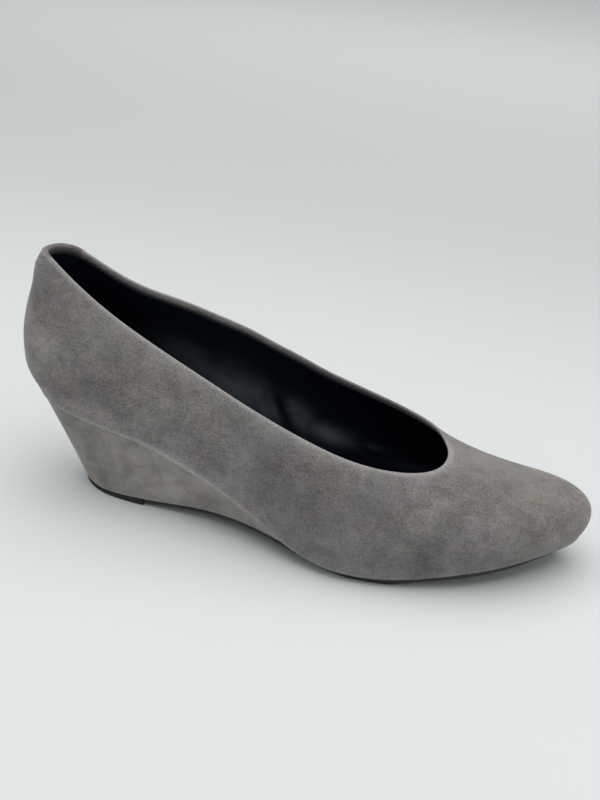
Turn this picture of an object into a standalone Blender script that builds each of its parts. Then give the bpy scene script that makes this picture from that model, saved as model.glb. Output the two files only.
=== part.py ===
"""Wedge pump for a right foot: suede upper, heel tab, insole, wedge, thin outsole and heel cap.

Metres. +X runs to the toe, +Y to the inner side of the foot, +Z up. The origin is on the floor,
under the middle of the heel cap. Every outline is a closed curve through sixteen named stations,
and every height underfoot is read from one side profile, so that the pieces follow each other.
"""
import math

import bmesh
import bpy
import numpy as np

# Driving sizes of the last and the shoe
LAST_LENGTH = 0.242        # back of the heel seat to the toe, along the floor
BALL_WIDTH = 0.0785        # across the feather line at the ball
HEEL_HEIGHT = 0.046        # feather line above the floor at the back
BALL_HEIGHT = 0.0036       # feather line above the floor at the ball
THROAT_HEIGHT = 0.0467     # top edge above the floor over the instep
COLLAR_HEIGHT = 0.1055     # top edge above the floor at the back
HEEL_CAP_SETBACK = 0.038   # back of the heel seat to the middle of the heel cap

# Thicknesses and clearances
WALL = 0.0020              # suede, stiffener and lining together
MARGIN_THICK = 0.0012      # the upper's edge, pared and turned under the foot
MARGIN_WIDTH = 0.0050
EDGE_DROP = 0.0009         # how far the upper rounds down below the feather line
EDGE_INSET = 0.0012        # and how far it rounds in
LINING_FOOT = 0.02         # share of the wall's height where the lining meets the turned edge
LINING_INSET = 0.0025      # from the feather line to that corner
GAP = 0.0003               # between pieces that meet
INSOLE_THICK = 0.0023
INSOLE_INSET = 0.0027      # from the feather line to the insole's edge
WEDGE_TOP_INSET = 0.0005
WEDGE_HOLLOW = 0.0003      # how far the wedge's side draws in at half height
TAB_THICK = 0.0009
WELD = 0.00002             # points closer than this are one

# How finely the pieces are divided
COLUMNS = 96               # sections round the upper
WALL_ROWS = 10
LINING_ROWS = 8
FOLD_TURNS = (45, 90, 135)  # degrees over the upper's folded top edge
INSOLE_SECTIONS = 49
WEDGE_SECTIONS = 33
OUTSOLE_SECTIONS = 41
CAP_SECTIONS = 15
TOE_STATION = 8

# Station by station round the shoe: back, outer side, toe, inner side.
# along: share of LAST_LENGTH, across: share of half BALL_WIDTH, minus on the outer side.
FEATHER_LINE = [
    # station     along   across
    ("back",      0.000,  0.000),
    ("o_heel",    0.052, -0.510),
    ("o_seat",    0.174, -0.675),
    ("o_waist",   0.366, -0.726),
    ("o_joint",   0.523, -0.955),
    ("o_ball",    0.653, -1.045),
    ("o_toe",     0.818, -0.764),
    ("o_corner",  0.934, -0.280),
    ("tip",       0.999,  0.204),
    ("i_corner",  0.975,  0.560),
    ("i_toe",     0.862,  0.803),
    ("i_ball",    0.709,  0.955),
    ("i_joint",   0.545,  0.688),
    ("i_waist",   0.380,  0.446),
    ("i_seat",    0.174,  0.586),
    ("i_heel",    0.052,  0.484),
]

# climb: 0 at THROAT_HEIGHT, 1 at COLLAR_HEIGHT.
TOPLINE = [
    # station     along   across  climb
    ("back",      0.008,  0.000,  1.000),
    ("o_heel",    0.041, -0.268,  0.975),
    ("o_seat",    0.161, -0.446,  0.703),
    ("o_waist",   0.347, -0.573,  0.372),
    ("o_joint",   0.494, -0.701,  0.163),
    ("o_ball",    0.622, -0.688,  0.014),
    ("o_toe",     0.719, -0.471, -0.043),
    ("o_corner",  0.756, -0.229, -0.020),
    ("tip",       0.758,  0.025,  0.000),
    ("i_corner",  0.744,  0.255,  0.012),
    ("i_toe",     0.713,  0.462,  0.040),
    ("i_ball",    0.628,  0.611,  0.112),
    ("i_joint",   0.494,  0.624,  0.272),
    ("i_waist",   0.349,  0.510,  0.522),
    ("i_seat",    0.161,  0.344,  0.747),
    ("i_heel",    0.048,  0.280,  0.962),
]

# The wall's curve from feather line to top edge. lean: degrees outwards at the bottom.
# drop: degrees below level at the top, looking out. The bows are the lengths of the two
# tangents, as shares of the straight distance.
WALL_CURVE = [
    # station     lean  low_bow  drop  high_bow
    ("back",      37.0,  0.385,  74.0,  0.36),
    ("o_heel",    28.5,  0.340,  74.0,  0.33),
    ("o_seat",    16.0,  0.36,   78.0,  0.36),
    ("o_waist",   12.0,  0.35,   74.0,  0.39),
    ("o_joint",   12.0,  0.32,   62.0,  0.37),
    ("o_ball",    12.0,  0.35,   46.0,  0.39),
    ("o_toe",     15.0,  0.35,   30.0,  0.60),
    ("o_corner",  19.0,  0.37,   19.0,  0.80),
    ("tip",       26.0,  0.435,  19.0,  0.66),
    ("i_corner",  21.0,  0.43,   31.0,  0.55),
    ("i_toe",     13.0,  0.35,   42.0,  0.45),
    ("i_ball",    13.0,  0.30,   46.0,  0.34),
    ("i_joint",   24.0,  0.32,   63.0,  0.34),
    ("i_waist",   37.0,  0.34,   76.0,  0.35),
    ("i_seat",    22.0,  0.35,   79.0,  0.35),
    ("i_heel",    28.0,  0.36,   79.0,  0.36),
]

# Edge of the outsole and heel cap, and foot of the wedge
TREAD_EDGE = [
    # station     along   across
    ("back",      0.089,  0.000),
    ("o_heel",    0.124, -0.318),
    ("o_seat",    0.207, -0.459),
    ("o_waist",   0.372, -0.548),
    ("o_joint",   0.523, -0.841),
    ("o_ball",    0.657, -0.968),
    ("o_toe",     0.822, -0.713),
    ("o_corner",  0.931, -0.268),
    ("tip",       0.988,  0.200),
    ("i_corner",  0.958,  0.513),
    ("i_toe",     0.857,  0.752),
    ("i_ball",    0.709,  0.904),
    ("i_joint",   0.541,  0.637),
    ("i_waist",   0.380,  0.395),
    ("i_seat",    0.207,  0.459),
    ("i_heel",    0.122,  0.331),
]

# Side profile. bed: the feather line's height, as a share of the heel's rise above the ball.
# tread: the outsole's underside, metres above the floor; the floor wears it flat under the ball.
# sole: how thick the outsole is, or under the heel the sheet that the cap replaces.
SIDE_PROFILE = [
    # along   bed     tread    sole
    (0.000,   1.000,  0.0000,  0.0012),
    (0.052,   0.965,  0.0000,  0.0012),
    (0.100,   0.927,  0.0000,  0.0013),
    (0.174,   0.854,  0.0006,  0.0016),
    (0.240,   0.776,  0.0018,  0.0013),
    (0.366,   0.512,  0.0047,  0.0012),
    (0.452,   0.303,  0.0049,  0.0013),
    (0.523,   0.128,  0.0036,  0.0016),
    (0.587,   0.041,  0.0013,  0.0022),
    (0.653,   0.022, -0.0003,  0.0032),
    (0.700,   0.031,  0.0001,  0.0034),
    (0.740,   0.058,  0.0021,  0.0027),
    (0.818,   0.121,  0.0050,  0.0025),
    (0.880,   0.158,  0.0072,  0.0020),
    (0.934,   0.190,  0.0092,  0.0013),
    (1.010,   0.222,  0.0107,  0.0011),
]

# Where pieces end, as stations counted from the back along the outer and inner sides
CAP_FRONT = 2.15
OUTSOLE_BACK = 2.165
WEDGE_FRONT_OUTER = 4.42
WEDGE_FRONT_INNER = 4.19

# Heel tab: an outline on the upper's own surface, from just round the outer side to the inner.
# round: station, minus on the inner side. depth: how far it hangs below the top edge.
TAB_OUTLINE = [
    # round   depth
    (0.36,    0.0050),
    (0.20,    0.0080),
    (0.00,    0.0105),
    (-0.30,   0.0125),
    (-0.60,   0.0120),
    (-0.82,   0.0090),
    (-0.98,   0.0055),
    (-1.10,   0.0040),
    (-1.16,   0.0022),
]
TAB_TOP = 0.0012           # below the top edge
TAB_COLUMNS = 16
TAB_ROWS = 5

STATIONS = len(FEATHER_LINE)
HALF_WIDTH = BALL_WIDTH / 2

SUEDE = (0.20, 0.18, 0.17)
WEDGE_SUEDE = (0.17, 0.16, 0.145)
LINING_NAVY = (0.012, 0.014, 0.022)
SOLE_BLACK = (0.018, 0.018, 0.019)
CAP_BLACK = (0.012, 0.012, 0.013)


def column(table, index):
    return np.array([row[index] for row in table], dtype=float)


def ring_tangents(values):
    """Tangents that make a closed cubic curve through the values run smoothly at each of them."""
    count = len(values)
    system = np.zeros((count, count))
    for i in range(count):
        system[i, i] = 4.0
        system[i, (i - 1) % count] = 1.0
        system[i, (i + 1) % count] = 1.0
    return np.linalg.solve(system, 3 * (np.roll(values, -1, axis=0) - np.roll(values, 1, axis=0)))


def on_ring(values, at):
    """Points of the closed curve through the values, at station numbers that may be fractions."""
    tangents = ring_tangents(values)
    at = np.mod(np.asarray(at, dtype=float), STATIONS)
    first = np.floor(at).astype(int) % STATIONS
    second = (first + 1) % STATIONS
    t = (at - np.floor(at))[:, None]
    return ((2 * t**3 - 3 * t**2 + 1) * values[first] + (t**3 - 2 * t**2 + t) * tangents[first]
            + (3 * t**2 - 2 * t**3) * values[second] + (t**3 - t**2) * tangents[second])


def profile_height(index, x):
    """Height from the side profile at distances x along the last."""
    xs = column(SIDE_PROFILE, 0) * LAST_LENGTH
    heights = column(SIDE_PROFILE, index)
    slopes = np.gradient(heights, xs)
    x = np.clip(x, xs[0], xs[-1])
    low = np.clip(np.searchsorted(xs, x, side="right") - 1, 0, len(xs) - 2)
    span = xs[low + 1] - xs[low]
    t = (x - xs[low]) / span
    return ((2 * t**3 - 3 * t**2 + 1) * heights[low] + (t**3 - 2 * t**2 + t) * span * slopes[low]
            + (3 * t**2 - 2 * t**3) * heights[low + 1] + (t**3 - t**2) * span * slopes[low + 1])


def bed_height(x):
    """The last's bottom, at the feather line."""
    return BALL_HEIGHT + profile_height(1, x) * (HEEL_HEIGHT - BALL_HEIGHT)


def tread_height(x):
    """The outsole's underside, flat on the floor under the ball."""
    return np.maximum(profile_height(2, x), 0.0)


def sole_top(x):
    """The outsole's upper face, and the cap's."""
    return tread_height(x) + profile_height(3, x)


def plan_curve(table, at):
    """A closed outline seen from above, in metres, and its direction outwards."""
    shares = np.stack([column(table, 1) * LAST_LENGTH, column(table, 2) * HALF_WIDTH], axis=1)
    points = on_ring(shares, at)
    step = 0.01
    along = on_ring(shares, np.asarray(at) + step) - on_ring(shares, np.asarray(at) - step)
    along /= np.linalg.norm(along, axis=1)[:, None]
    outwards = np.stack([along[:, 1], -along[:, 0]], axis=1)
    return points, outwards


def outline(table, at, inset, height, lift):
    """An outline drawn in by inset, at lift above the height function."""
    points, outwards = plan_curve(table, at)
    plan = points - outwards * inset
    return np.column_stack([plan, height(plan[:, 0]) + lift])


def topline_height():
    return THROAT_HEIGHT + column(TOPLINE, 3) * (COLLAR_HEIGHT - THROAT_HEIGHT)


def wall_point(at, up):
    """Outer face of the upper: at is the station, up runs from the feather line 0 to the top edge 1."""
    foot_plan, foot_out = plan_curve(FEATHER_LINE, at)
    foot = np.column_stack([foot_plan, bed_height(foot_plan[:, 0])])
    top_plan, top_out = plan_curve(TOPLINE, at)
    top = np.column_stack([top_plan, on_ring(topline_height()[:, None], at)[:, 0]])
    curve = on_ring(np.stack([column(WALL_CURVE, i) for i in range(1, 5)], axis=1), at)
    lean, drop = np.radians(curve[:, 0]), np.radians(curve[:, 2])
    reach = np.linalg.norm(top - foot, axis=1)
    low = np.column_stack([foot_out * np.sin(lean)[:, None], np.cos(lean)])
    high = np.column_stack([top_out * np.cos(drop)[:, None], -np.sin(drop)])
    low_point = foot + low * (curve[:, 1] * reach)[:, None]
    high_point = top + high * (curve[:, 3] * reach)[:, None]
    up = np.asarray(up, dtype=float)[:, None]
    return ((1 - up)**3 * foot + 3 * (1 - up)**2 * up * low_point
            + 3 * (1 - up) * up**2 * high_point + up**3 * top)


def wall_normal(at, up):
    """Direction straight out of the upper's outer face."""
    step = 0.01
    up = np.asarray(up, dtype=float)
    low, high = np.maximum(up - step, 0.0), np.minimum(up + step, 1.0)
    round_shoe = wall_point(np.asarray(at) + step, up) - wall_point(np.asarray(at) - step, up)
    upwards = wall_point(at, high) - wall_point(at, low)
    normal = np.cross(round_shoe, upwards)
    return normal / np.linalg.norm(normal, axis=1)[:, None]


def wall_offset(at, up, offset):
    return wall_point(at, up) + wall_normal(at, up) * offset


def stations(first, last, count):
    return np.linspace(first, last, count)


def material(name, colour, roughness):
    made = bpy.data.materials.new(name)
    made.use_nodes = True
    shader = made.node_tree.nodes["Principled BSDF"]
    shader.inputs["Base Color"].default_value = (*colour, 1.0)
    shader.inputs["Roughness"].default_value = roughness
    shader.inputs["Metallic"].default_value = 0.0
    return made


def loft(name, rings, ring_is_loop, finish, collection):
    """A closed solid through cross-sections. Sections that shrink to a line or a point are
    welded shut, open ends are capped, and a loop of sections closes on itself."""
    mesh = bmesh.new()
    moved = np.array([HEEL_CAP_SETBACK, 0.0, 0.0])
    loops = [[mesh.verts.new(point - moved) for point in ring] for ring in rings]
    pairs = list(zip(loops, loops[1:]))
    if ring_is_loop:
        pairs.append((loops[-1], loops[0]))
    for near, far in pairs:
        for i in range(len(near)):
            j = (i + 1) % len(near)
            mesh.faces.new((near[i], near[j], far[j], far[i]))
    if not ring_is_loop:
        mesh.faces.new(loops[0])
        mesh.faces.new(loops[-1])
    bmesh.ops.remove_doubles(mesh, verts=mesh.verts, dist=WELD)
    bmesh.ops.dissolve_degenerate(mesh, dist=WELD / 2, edges=mesh.edges)
    bmesh.ops.recalc_face_normals(mesh, faces=mesh.faces)
    data = bpy.data.meshes.new(name)
    mesh.to_mesh(data)
    mesh.free()
    data.shade_smooth()
    data.set_sharp_from_angle(angle=math.radians(40))
    data.materials.append(finish)
    made = bpy.data.objects.new(name, data)
    collection.objects.link(made)
    return made


def make_upper(finish, collection):
    """One closed band: outer face, rolled top edge, lining face, and the margin turned under."""
    at = stations(0, STATIONS, COLUMNS + 1)[:-1]
    level = np.ones(COLUMNS)
    slope = math.radians(45)
    rows = [
        outline(FEATHER_LINE, at, EDGE_INSET, bed_height, -EDGE_DROP),
        outline(FEATHER_LINE, at, EDGE_INSET * (1 - math.sin(slope)), bed_height,
                -EDGE_DROP * math.cos(slope)),
    ]
    for up in np.linspace(0.0, 1.0, WALL_ROWS):
        rows.append(wall_point(at, level * up))
    # The top edge is folded: a half round from the outer face over to the lining
    just_under = 1 - 1 / (WALL_ROWS * WALL_ROWS)
    upwards = wall_point(at, level) - wall_point(at, level * just_under)
    upwards /= np.linalg.norm(upwards, axis=1)[:, None]
    normal = wall_normal(at, level)
    for turn in FOLD_TURNS:
        angle = math.radians(turn)
        rows.append(wall_point(at, level) - normal * WALL / 2 * (1 - math.cos(angle))
                    + upwards * WALL / 2 * math.sin(angle))
    for up in np.linspace(1.0, LINING_FOOT, LINING_ROWS):
        rows.append(wall_offset(at, level * up, -WALL))
    rows.append(outline(FEATHER_LINE, at, LINING_INSET, bed_height, MARGIN_THICK - EDGE_DROP))
    rows.append(outline(FEATHER_LINE, at, MARGIN_WIDTH, bed_height, MARGIN_THICK - EDGE_DROP))
    rows.append(outline(FEATHER_LINE, at, MARGIN_WIDTH, bed_height, -EDGE_DROP))
    rings = np.stack(rows, axis=1)
    return loft("upper", rings, True, finish, collection)


def make_heel_tab(finish, collection):
    """A thin lobe on the upper's outer face, cut between two larger forms of that face."""
    outline_at = column(TAB_OUTLINE, 0)
    outline_depth = column(TAB_OUTLINE, 1)
    spread = np.linspace(0.0, 1.0, TAB_COLUMNS + 1)
    place = np.linspace(0.0, 1.0, len(TAB_OUTLINE))
    at = np.interp(spread, place, outline_at)
    depth = np.interp(spread, place, outline_depth)
    wall_length = np.linalg.norm(wall_point(at, at * 0 + 1) - wall_point(at, at * 0), axis=1)
    outer, inner = [], []
    for share in np.linspace(0.0, 1.0, TAB_ROWS + 1):
        below = TAB_TOP + (depth - TAB_TOP) * share
        up = 1.0 - below / wall_length
        outer.append(wall_offset(at, up, GAP + TAB_THICK))
        inner.append(wall_offset(at, up, GAP))
    rings = np.stack(outer + inner[::-1], axis=1)
    return loft("heel_tab", rings, False, finish, collection)


def slab_rings(table, outer_at, inner_at, inset, top, bottom, across):
    """Cross-sections of a flat piece: over the top from the outer to the inner edge, and back."""
    outer_plan, outer_out = plan_curve(table, outer_at)
    inner_plan, inner_out = plan_curve(table, inner_at)
    outer_plan = outer_plan - outer_out * inset
    inner_plan = inner_plan - inner_out * inset
    rows = []
    for share in np.linspace(0.0, 1.0, across):
        plan = outer_plan * (1 - share) + inner_plan * share
        rows.append(np.column_stack([plan, top(plan[:, 0])]))
    for share in np.linspace(1.0, 0.0, across):
        plan = outer_plan * (1 - share) + inner_plan * share
        rows.append(np.column_stack([plan, bottom(plan[:, 0])]))
    return np.stack(rows, axis=1)


def make_insole(finish, collection):
    outer_at = stations(0, TOE_STATION, INSOLE_SECTIONS)
    inner_at = -outer_at
    foot = GAP + MARGIN_THICK - EDGE_DROP
    rings = slab_rings(FEATHER_LINE, outer_at, inner_at, INSOLE_INSET,
                       lambda x: bed_height(x) + foot + INSOLE_THICK,
                       lambda x: bed_height(x) + foot, 5)
    return loft("insole", rings, False, finish, collection)


def wedge_foot(x):
    return sole_top(x) + GAP


def make_wedge(finish, collection):
    """The block under the upper: flush with the feather line above, drawn in to the tread below."""
    outer_at = stations(0, WEDGE_FRONT_OUTER, WEDGE_SECTIONS)
    inner_at = -stations(0, WEDGE_FRONT_INNER, WEDGE_SECTIONS)
    rows = []
    lid = -EDGE_DROP - GAP
    outer_top = outline(FEATHER_LINE, outer_at, WEDGE_TOP_INSET, bed_height, lid)
    inner_top = outline(FEATHER_LINE, inner_at, WEDGE_TOP_INSET, bed_height, lid)
    outer_foot = outline(TREAD_EDGE, outer_at, 0.0, wedge_foot, 0.0)
    inner_foot = outline(TREAD_EDGE, inner_at, 0.0, wedge_foot, 0.0)
    outer_way = plan_curve(FEATHER_LINE, outer_at)[1]
    inner_way = plan_curve(FEATHER_LINE, inner_at)[1]
    side = (0.0, 0.25, 0.5, 0.75, 1.0)
    for share in side:
        hollow = WEDGE_HOLLOW * math.sin(math.pi * share)
        point = outer_foot * (1 - share) + outer_top * share
        tall = np.clip((outer_top - outer_foot)[:, 2] / HEEL_HEIGHT, 0, 1)[:, None]
        point[:, :2] -= outer_way * hollow * tall
        rows.append(point)
    for share in (0.25, 0.5, 0.75):
        plan = outer_top[:, :2] * (1 - share) + inner_top[:, :2] * share
        rows.append(np.column_stack([plan, bed_height(plan[:, 0]) + lid]))
    for share in reversed(side):
        hollow = WEDGE_HOLLOW * math.sin(math.pi * share)
        point = inner_foot * (1 - share) + inner_top * share
        tall = np.clip((inner_top - inner_foot)[:, 2] / HEEL_HEIGHT, 0, 1)[:, None]
        point[:, :2] -= inner_way * hollow * tall
        rows.append(point)
    for share in (0.75, 0.5, 0.25):
        plan = outer_foot[:, :2] * (1 - share) + inner_foot[:, :2] * share
        rows.append(np.column_stack([plan, wedge_foot(plan[:, 0])]))
    rings = np.stack(rows, axis=1)
    return loft("wedge", rings, False, finish, collection)


def make_outsole(finish, collection):
    outer_at = stations(OUTSOLE_BACK, TOE_STATION, OUTSOLE_SECTIONS)
    inner_at = -outer_at
    rings = slab_rings(TREAD_EDGE, outer_at, inner_at, 0.0,
                       sole_top, tread_height, 5)
    return loft("outsole", rings, False, finish, collection)


def make_heel_cap(finish, collection):
    outer_at = stations(0, CAP_FRONT, CAP_SECTIONS)
    inner_at = -outer_at
    rings = slab_rings(TREAD_EDGE, outer_at, inner_at, 0.0,
                       sole_top, lambda x: x * 0.0, 4)
    return loft("heel_cap", rings, False, finish, collection)


for leftover in list(bpy.data.objects):
    bpy.data.objects.remove(leftover, do_unlink=True)

pump = bpy.data.collections.new("wedge_pump")
bpy.context.scene.collection.children.link(pump)

make_upper(material("suede", SUEDE, 0.95), pump)
make_heel_tab(material("tab_suede", SUEDE, 0.95), pump)
make_insole(material("insole_sock", LINING_NAVY, 0.45), pump)
make_wedge(material("wedge_suede", WEDGE_SUEDE, 0.9), pump)
make_outsole(material("sole_black", SOLE_BLACK, 0.6), pump)
make_heel_cap(material("cap_rubber", CAP_BLACK, 0.7), pump)
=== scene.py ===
"""Wedge pump, right foot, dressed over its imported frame: insole, lining, suede upper, heel tab,
wedge cover, outsole and heel cap, on a pale floor.

Metres. +X runs to the toe, +Y to the inner side of the foot, +Z up. Outlines are closed curves
through sixteen stations counted from the back along the outer side, round the toe, and home.
"""
import math

import bmesh
import bpy
import numpy as np
from mathutils import Matrix, Vector


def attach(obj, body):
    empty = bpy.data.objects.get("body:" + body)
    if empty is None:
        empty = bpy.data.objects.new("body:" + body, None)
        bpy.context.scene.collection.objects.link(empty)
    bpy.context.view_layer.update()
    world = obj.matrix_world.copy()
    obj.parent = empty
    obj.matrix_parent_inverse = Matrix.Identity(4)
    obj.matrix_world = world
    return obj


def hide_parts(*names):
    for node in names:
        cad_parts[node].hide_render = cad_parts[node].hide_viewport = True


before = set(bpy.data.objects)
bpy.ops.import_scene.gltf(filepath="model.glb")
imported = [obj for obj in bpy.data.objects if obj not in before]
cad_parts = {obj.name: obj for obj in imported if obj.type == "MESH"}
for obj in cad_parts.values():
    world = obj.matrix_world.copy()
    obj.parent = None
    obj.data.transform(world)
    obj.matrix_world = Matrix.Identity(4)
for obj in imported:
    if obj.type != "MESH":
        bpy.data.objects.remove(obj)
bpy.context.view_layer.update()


# Insole
# A fibre board under a sock of navy leather, cut a little smaller than the last and glued down.
# The sock is rolled at its edge, pressed hollow under heel and ball, and folds softly where the
# slope of the shank meets the flat of the forefoot.

LAST_LENGTH = 0.242        # back of the heel seat to the toe, along the floor
HALF_WIDTH = 0.0785 / 2    # half the width across the feather line at the ball
HEEL_HEIGHT = 0.046        # feather line above the floor at the back
BALL_HEIGHT = 0.0036       # and at the ball
HEEL_CAP_SETBACK = 0.038   # back of the heel seat to the middle of the heel cap, which is x = 0
EDGE_DROP = 0.0009         # how far the upper rounds down below the feather line
MARGIN_THICK = 0.0012      # the upper's pared edge, turned under the foot
GAP = 0.0003               # between pieces that meet
STATIONS = 16
TOE_STATION = 8

# along: share of LAST_LENGTH. across: share of HALF_WIDTH, minus on the outer side. The stations:
# back, outer heel, seat, waist, joint, ball, toe and corner, tip, and the same in turn back to the
# inner heel.
FEATHER_LINE = np.array([
    # along across
    (0.000,  0.000),
    (0.052, -0.510),
    (0.174, -0.675),
    (0.366, -0.726),
    (0.523, -0.955),
    (0.653, -1.045),
    (0.818, -0.764),
    (0.934, -0.280),
    (0.999,  0.204),
    (0.975,  0.560),
    (0.862,  0.803),
    (0.709,  0.955),
    (0.545,  0.688),
    (0.380,  0.446),
    (0.174,  0.586),
    (0.052,  0.484),
])

# bed: the feather line's height, as a share of the heel's rise above the ball.
# tread: the outsole's underside, above the floor, which wears it flat under the ball.
# sole: how thick the outsole is, or under the heel the sheet that the cap replaces.
SIDE_PROFILE = np.array([
    # along   bed    tread    sole
    (0.000, 1.000,  0.0000, 0.0012),
    (0.052, 0.965,  0.0000, 0.0012),
    (0.100, 0.927,  0.0000, 0.0013),
    (0.174, 0.854,  0.0006, 0.0016),
    (0.240, 0.776,  0.0018, 0.0013),
    (0.366, 0.512,  0.0047, 0.0012),
    (0.452, 0.303,  0.0049, 0.0013),
    (0.523, 0.128,  0.0036, 0.0016),
    (0.587, 0.041,  0.0013, 0.0022),
    (0.653, 0.022, -0.0003, 0.0032),
    (0.700, 0.031,  0.0001, 0.0034),
    (0.740, 0.058,  0.0021, 0.0027),
    (0.818, 0.121,  0.0050, 0.0025),
    (0.880, 0.158,  0.0072, 0.0020),
    (0.934, 0.190,  0.0092, 0.0013),
    (1.010, 0.222,  0.0107, 0.0011),
])

SOCK_INSET = 0.0027        # from the feather line to the sock's edge
SOCK_THICK = 0.0023        # board and sock together
SOCK_ROLL = 0.0009         # radius of the rolled edge
HEEL_PRESS = 0.0007        # how deep the heel has pressed the sock
BALL_PRESS = 0.0005
SHANK_FOLD = 0.0006        # depth of the soft fold at the end of the shank
FOLD_ALONG = 0.150         # from the back of the heel seat to the fold
FOLD_SLANT = 0.35          # the fold runs forward on the outer side
SOCK_NAVY = (0.0022, 0.0036, 0.0085, 1.0)
SOCK_WORN = (0.0048, 0.0070, 0.0135, 1.0)


def bell(away, wide):
    """1 where away is 0, and next to nothing from two widths on."""
    return np.exp(-(away / wide)**2)


def between(t, first, second, first_slope, second_slope):
    """A cubic curve from first to second, at t from 0 to 1."""
    return ((2 * t**3 - 3 * t**2 + 1) * first + (t**3 - 2 * t**2 + t) * first_slope
            + (3 * t**2 - 2 * t**3) * second + (t**3 - t**2) * second_slope)


def on_ring(values, at):
    """Points of a closed cubic curve through the values, at station numbers with fractions."""
    count = len(values)
    system = 4 * np.eye(count) + np.roll(np.eye(count), 1, axis=0) + np.roll(np.eye(count), -1, axis=0)
    pull = np.roll(values, -1, axis=0) - np.roll(values, 1, axis=0)
    tangents = np.linalg.solve(system, 3 * pull)
    at = np.mod(np.asarray(at, dtype=float), count)
    first = np.floor(at).astype(int) % count
    second = (first + 1) % count
    t = (at - np.floor(at))[:, None]
    return between(t, values[first], values[second], tangents[first], tangents[second])


def profile_height(index, x):
    """A height from the side profile, at distances x from the back of the heel seat."""
    xs = SIDE_PROFILE[:, 0] * LAST_LENGTH
    heights = SIDE_PROFILE[:, index]
    slopes = np.gradient(heights, xs)
    x = np.clip(x, xs[0], xs[-1])
    low = np.clip(np.searchsorted(xs, x, side="right") - 1, 0, len(xs) - 2)
    span = xs[low + 1] - xs[low]
    t = (x - xs[low]) / span
    return between(t, heights[low], heights[low + 1], span * slopes[low], span * slopes[low + 1])


def bed_height(x):
    """The last's bottom, at the feather line."""
    return BALL_HEIGHT + profile_height(1, x) * (HEEL_HEIGHT - BALL_HEIGHT)


def plan_curve(table, at):
    """A closed outline seen from above, and its direction outwards."""
    shares = table[:, :2] * (LAST_LENGTH, HALF_WIDTH)
    points = on_ring(shares, at)
    step = 0.01
    along = on_ring(shares, np.asarray(at) + step) - on_ring(shares, np.asarray(at) - step)
    along /= np.linalg.norm(along, axis=1)[:, None]
    return points, np.stack([along[:, 1], -along[:, 0]], axis=1)


def outline(table, at, inset, height, lift):
    """An outline drawn in by inset, at lift above a height function."""
    points, outwards = plan_curve(table, at)
    plan = points - outwards * np.reshape(inset, (-1, 1))
    return np.column_stack([plan, height(plan[:, 0]) + lift])


def smooth_step(low, high, value):
    t = np.clip((value - low) / (high - low), 0.0, 1.0)
    return t * t * (3 - 2 * t)


def eased(first, last, count):
    """Numbers from first to last that lie closest together at both ends."""
    turn = np.linspace(0.0, math.pi, count)
    return first + (last - first) * (1 - np.cos(turn)) / 2


def placed(name, data):
    """A new object in the scene."""
    made = bpy.data.objects.new(name, data)
    bpy.context.scene.collection.objects.link(made)
    return made


def sew(name, sections, finish, loop=False, marks=None, crease_angle=50):
    """One closed skin over cross-sections, which shrink to a line or point where they end.
    A loop of sections closes on itself. Marks are numbers for each point, for the finish."""
    sections = np.asarray(sections) - np.array([HEEL_CAP_SETBACK, 0.0, 0.0])
    count, points = sections.shape[:2]
    index = np.arange(count * points).reshape(count, points)
    near = index if loop else index[:-1]
    far = np.roll(index, -1, axis=0) if loop else index[1:]
    faces = np.stack([near, np.roll(near, -1, axis=1), np.roll(far, -1, axis=1), far], axis=-1)
    faces = faces.reshape(-1, 4).tolist()
    if not loop:
        faces += [index[0].tolist(), index[-1].tolist()]
    mesh = bpy.data.meshes.new(name)
    mesh.from_pydata(sections.reshape(-1, 3).tolist(), [], faces)
    for mark, values in (marks or {}).items():
        layer = mesh.attributes.new(mark, "FLOAT", "POINT")
        layer.data.foreach_set("value", np.ravel(values).astype(np.float32))
    form = bmesh.new()
    form.from_mesh(mesh)
    bmesh.ops.remove_doubles(form, verts=form.verts, dist=0.000012)
    bmesh.ops.dissolve_degenerate(form, dist=0.000004, edges=form.edges)
    bmesh.ops.recalc_face_normals(form, faces=form.faces)
    form.to_mesh(mesh)
    form.free()
    mesh.shade_smooth()
    mesh.set_sharp_from_angle(angle=math.radians(crease_angle))
    mesh.materials.append(finish)
    return placed(name, mesh)


def plug(tree, node, inputs):
    """Sets a node's inputs, each to a value or to another node's output."""
    for key, value in inputs.items():
        if isinstance(value, bpy.types.NodeSocket):
            tree.links.new(value, node.inputs[key])
        else:
            node.inputs[key].default_value = value


def add(tree, kind, inputs=None, **settings):
    """A new node with its settings and inputs."""
    node = tree.nodes.new(kind)
    for key, value in settings.items():
        setattr(node, key, value)
    plug(tree, node, inputs or {})
    return node


def noise(tree, where, scale, detail=3.0, roughness=0.55, distortion=0.0):
    """Soft noise from 0 to 1. scale: patches to the metre."""
    return add(tree, "ShaderNodeTexNoise", {"Vector": where, "Scale": scale, "Detail": detail,
               "Roughness": roughness, "Distortion": distortion}).outputs[0]


def spread(tree, value, low, high, new_low=0.0, new_high=1.0):
    """value, stretched from low..high to new_low..new_high and held there."""
    return add(tree, "ShaderNodeMapRange", {0: value, 1: low, 2: high, 3: new_low, 4: new_high},
               interpolation_type="SMOOTHSTEP").outputs[0]


def sums(tree, kind, first, second):
    return add(tree, "ShaderNodeMath", {0: first, 1: second}, operation=kind).outputs[0]


def tint(tree, share, first, second, way="MIX"):
    """Two colours mixed: all first at share 0, all second at share 1."""
    return add(tree, "ShaderNodeMix", {0: share, 6: first, 7: second}, data_type="RGBA",
               blend_type=way, clamp_result=True).outputs[2]


def raised(tree, height, depth, strength):
    """A bump, with depth in metres from the height's 0 to its 1."""
    return add(tree, "ShaderNodeBump", {"Height": height, "Distance": depth,
               "Strength": strength}).outputs[0]


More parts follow.
